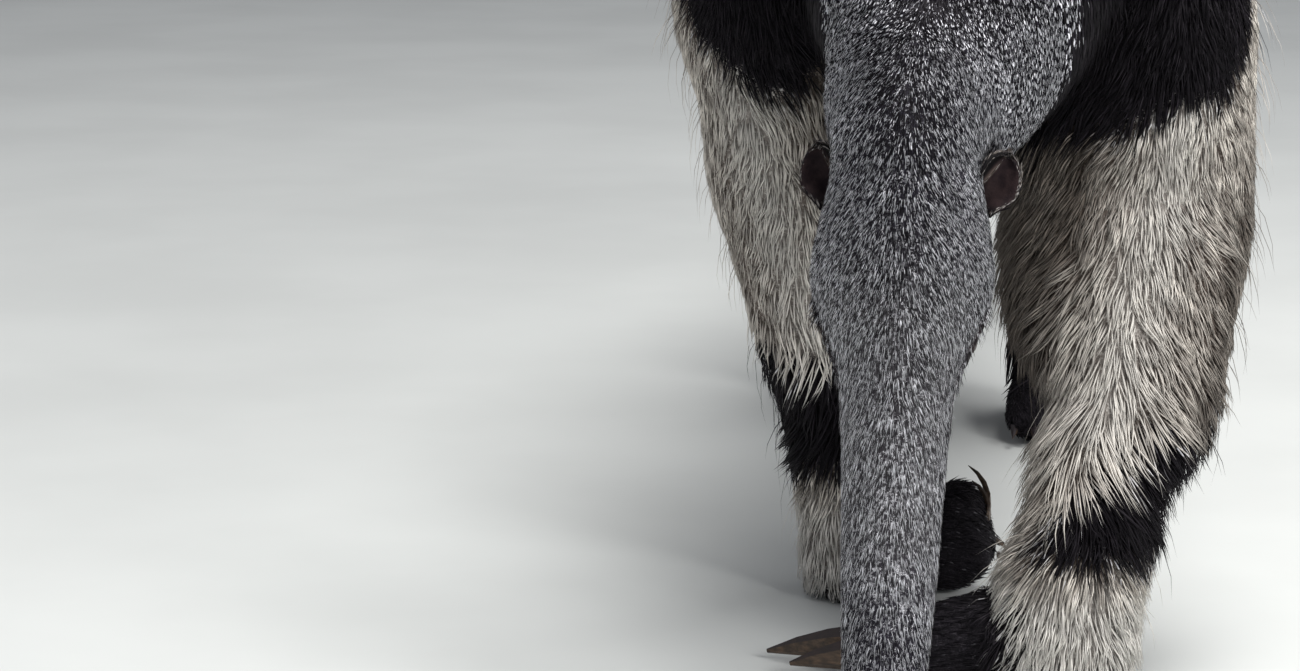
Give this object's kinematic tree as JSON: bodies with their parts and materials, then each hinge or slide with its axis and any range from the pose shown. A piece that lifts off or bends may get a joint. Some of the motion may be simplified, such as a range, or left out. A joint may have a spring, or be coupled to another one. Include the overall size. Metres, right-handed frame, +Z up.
{
  "type": "giant anteater",
  "caption": "Life-size giant anteater standing in mid-step on all fours, its head lowered so that the long snout nearly meets the floor, with a long brush tail.",
  "frame": {"origin": "on the floor, under the middle of the animal's bounding box", "axes": "+Z up; the animal faces -Y, and its left side is at +X"},
  "size_m": [0.3701, 1.9713, 0.6459],
  "materials": {
    "grizzled_coat": "short bristly blue-grey hair with pale tips",
    "body_coat": "long coarse grizzled brown-grey hair",
    "dark_coat": "black hair",
    "pale_coat": "shaggy cream hair with brown roots",
    "tail_coat": "very long coarse brown-grey hair",
    "ear_skin": "dark brown skin with very short hair",
    "eye": "wet dark brown",
    "claw": "worn horn"
  },
  "bodies": {
    "root": {"head": "grizzled_coat", "neck": "grizzled_coat", "ear_left": "ear_skin", "ear_right": "ear_skin", "eye_left": "eye", "eye_right": "eye", "torso": "body_coat", "tail": "tail_coat", "upper_arm_left": "pale_coat", "upper_arm_right": "pale_coat", "forearm_left": "pale_coat", "forearm_right": "pale_coat", "hand_left": "dark_coat", "hand_right": "dark_coat", "hand_left_claw_1": "claw", "hand_left_claw_2": "claw", "hand_left_claw_3": "claw", "hand_left_claw_4": "claw", "hand_right_claw_1": "claw", "hand_right_claw_2": "claw", "hand_right_claw_3": "claw", "hand_right_claw_4": "claw", "thigh_left": "dark_coat", "thigh_right": "dark_coat", "shank_left": "dark_coat", "shank_right": "dark_coat", "foot_left": "dark_coat", "foot_right": "dark_coat", "foot_left_claw_1": "claw", "foot_left_claw_2": "claw", "foot_left_claw_3": "claw", "foot_left_claw_4": "claw", "foot_left_claw_5": "claw", "foot_right_claw_1": "claw", "foot_right_claw_2": "claw", "foot_right_claw_3": "claw", "foot_right_claw_4": "claw", "foot_right_claw_5": "claw"}
  },
  "joints": []
}
